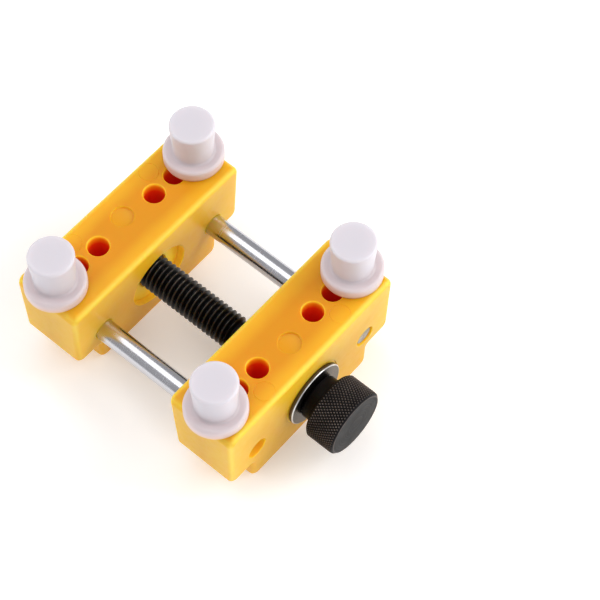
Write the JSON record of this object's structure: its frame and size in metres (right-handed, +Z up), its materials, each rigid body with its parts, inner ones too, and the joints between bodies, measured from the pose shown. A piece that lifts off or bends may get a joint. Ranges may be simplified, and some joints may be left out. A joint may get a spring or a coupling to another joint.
{
  "type": "adjustable watch case holder",
  "caption": "Screw-adjusted watch case holder with moulded jaws, guide rods, a knurled thumb knob and plug-in pegs that grip a watch case.",
  "frame": {"origin": "under the middle of the whole holder, on the plane that the keels stand on", "axes": "+Y from the knob to the rear jaw along the screw, +X to the right seen from the knob, +Z up"},
  "size_m": [0.0562, 0.0762, 0.039],
  "materials": {
    "jaw_plastic": "moulded amber yellow nylon, satin gloss, slightly translucent",
    "peg_nylon": "turned natural white nylon, soft satin",
    "bright_steel": "bright zinc plated steel",
    "black_steel": "blackened steel, oiled",
    "knob_black": "black anodised, diamond knurled",
    "brass": "turned brass"
  },
  "bodies": {
    "front": {"front_jaw": "jaw_plastic", "guide_rod_right": "bright_steel", "thrust_washer_front": "bright_steel", "thrust_washer_inner": "bright_steel"},
    "rear": {"rear_jaw": "jaw_plastic", "guide_rod_left": "bright_steel", "thread_insert": "brass"},
    "screw": {"lead_screw": "black_steel", "thumb_knob": "knob_black", "knob_grub_screw": "black_steel", "retaining_clip": "bright_steel"},
    "peg_fl": {"peg_front_left": "peg_nylon"},
    "peg_fr": {"peg_front_right": "peg_nylon"},
    "peg_rl": {"peg_rear_left": "peg_nylon"},
    "peg_rr": {"peg_rear_right": "peg_nylon"}
  },
  "joints": [
    {"name": "screw_turn", "type": "hinge", "parent": "front", "child": "screw", "pos_m": [0, 0, 0.013], "axis": [0, -1, 0], "range_deg": [-7345, 2305]},
    {"name": "rear_slide", "type": "slide", "parent": "front", "child": "rear", "axis": [0, 1, 0], "range_m": [-0.0255, 0.008]},
    {"name": "peg_fl_lift", "type": "slide", "parent": "front", "child": "peg_fl", "axis": [0, 0, 1], "range_m": [0, 0.014]},
    {"name": "peg_fr_lift", "type": "slide", "parent": "front", "child": "peg_fr", "axis": [0, 0, 1], "range_m": [0, 0.014]},
    {"name": "peg_rl_lift", "type": "slide", "parent": "rear", "child": "peg_rl", "axis": [0, 0, 1], "range_m": [0, 0.014]},
    {"name": "peg_rr_lift", "type": "slide", "parent": "rear", "child": "peg_rr", "axis": [0, 0, 1], "range_m": [0, 0.014]}
  ],
  "couplings": [
    {"joint": "screw_turn", "follows": "rear_slide", "rad_per_m": 5026.5}
  ]
}
